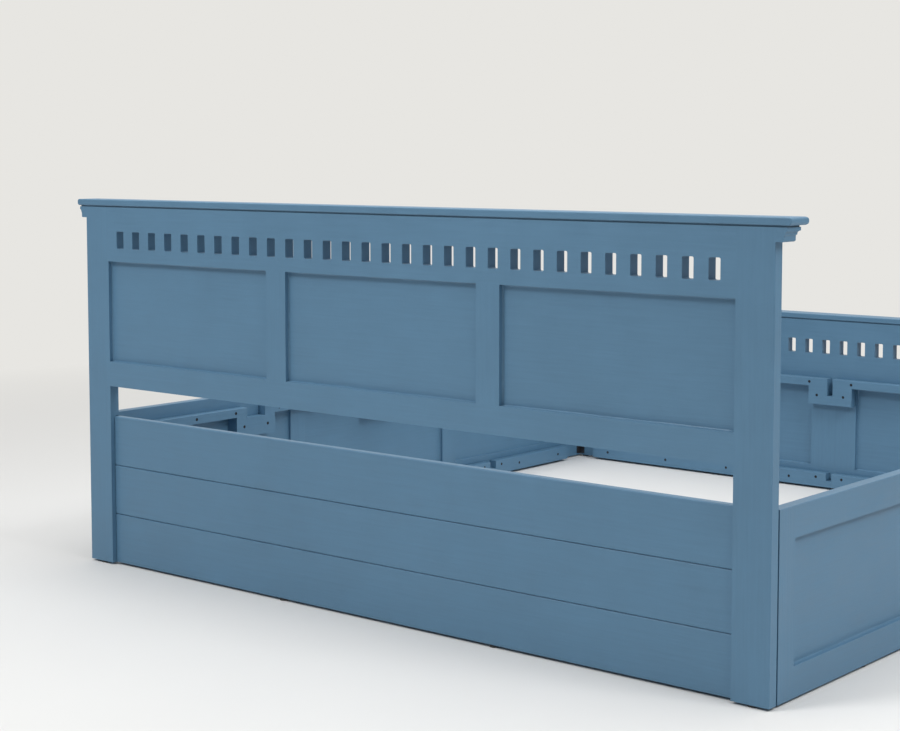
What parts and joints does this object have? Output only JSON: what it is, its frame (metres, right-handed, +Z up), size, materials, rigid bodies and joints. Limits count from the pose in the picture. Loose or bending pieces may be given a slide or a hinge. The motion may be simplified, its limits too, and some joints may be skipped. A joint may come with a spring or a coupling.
{
  "type": "storage bed",
  "caption": "Painted wooden box bed frame with panelled headboard and footboard, panelled sides, cap boards with crown moulding, deck ledges and slots for rails inside.",
  "frame": {"origin": "on the floor under the middle of the bed's outer box", "axes": "+X towards the right side frame when seen from behind the headboard, +Y from the headboard to the footboard, +Z up"},
  "size_m": [1.953, 2.084, 0.888],
  "materials": {
    "painted_wood": "satin steel-blue paint on wood",
    "bare_wood": "bare beech",
    "black_screws": "black phosphated steel",
    "black_steel": "black powder coat",
    "glide_plastic": "matte black"
  },
  "bodies": {
    "root": {"angle_screws": "black_screws", "corner_angles": "black_steel", "dowels": "bare_wood", "foot_block": "painted_wood", "foot_bottom_rail": "painted_wood", "foot_cap": "painted_wood", "foot_cleat": "painted_wood", "foot_ledge": "painted_wood", "foot_moulding_front": "painted_wood", "foot_moulding_left": "painted_wood", "foot_moulding_right": "painted_wood", "foot_mullion": "painted_wood", "foot_panel_left": "painted_wood", "foot_panel_right": "painted_wood", "foot_post_left": "painted_wood", "foot_post_right": "painted_wood", "foot_top_rail": "painted_wood", "glides": "glide_plastic", "head_batten_left": "painted_wood", "head_batten_right": "painted_wood", "head_block": "painted_wood", "head_cap": "painted_wood", "head_cleat": "painted_wood", "head_ledge": "painted_wood", "head_lower_rail": "painted_wood", "head_moulding_front": "painted_wood", "head_moulding_left": "painted_wood", "head_moulding_right": "painted_wood", "head_mullion_left": "painted_wood", "head_mullion_right": "painted_wood", "head_panel_left": "painted_wood", "head_panel_middle": "painted_wood", "head_panel_right": "painted_wood", "head_plank_bottom": "painted_wood", "head_plank_middle": "painted_wood", "head_plank_top": "painted_wood", "head_post_left": "painted_wood", "head_post_right": "painted_wood", "head_top_rail": "painted_wood", "side_left_blocks": "painted_wood", "side_left_bottom_rail": "painted_wood", "side_left_cleat": "painted_wood", "side_left_ledge": "painted_wood", "side_left_mullions": "painted_wood", "side_left_panels": "painted_wood", "side_left_stile_foot": "painted_wood", "side_left_stile_head": "painted_wood", "side_left_top_rail": "painted_wood", "side_right_blocks": "painted_wood", "side_right_bottom_rail": "painted_wood", "side_right_cleat": "painted_wood", "side_right_ledge": "painted_wood", "side_right_mullions": "painted_wood", "side_right_panels": "painted_wood", "side_right_stile_foot": "painted_wood", "side_right_stile_head": "painted_wood", "side_right_top_rail": "painted_wood", "wood_screws": "black_screws"}
  },
  "joints": []
}
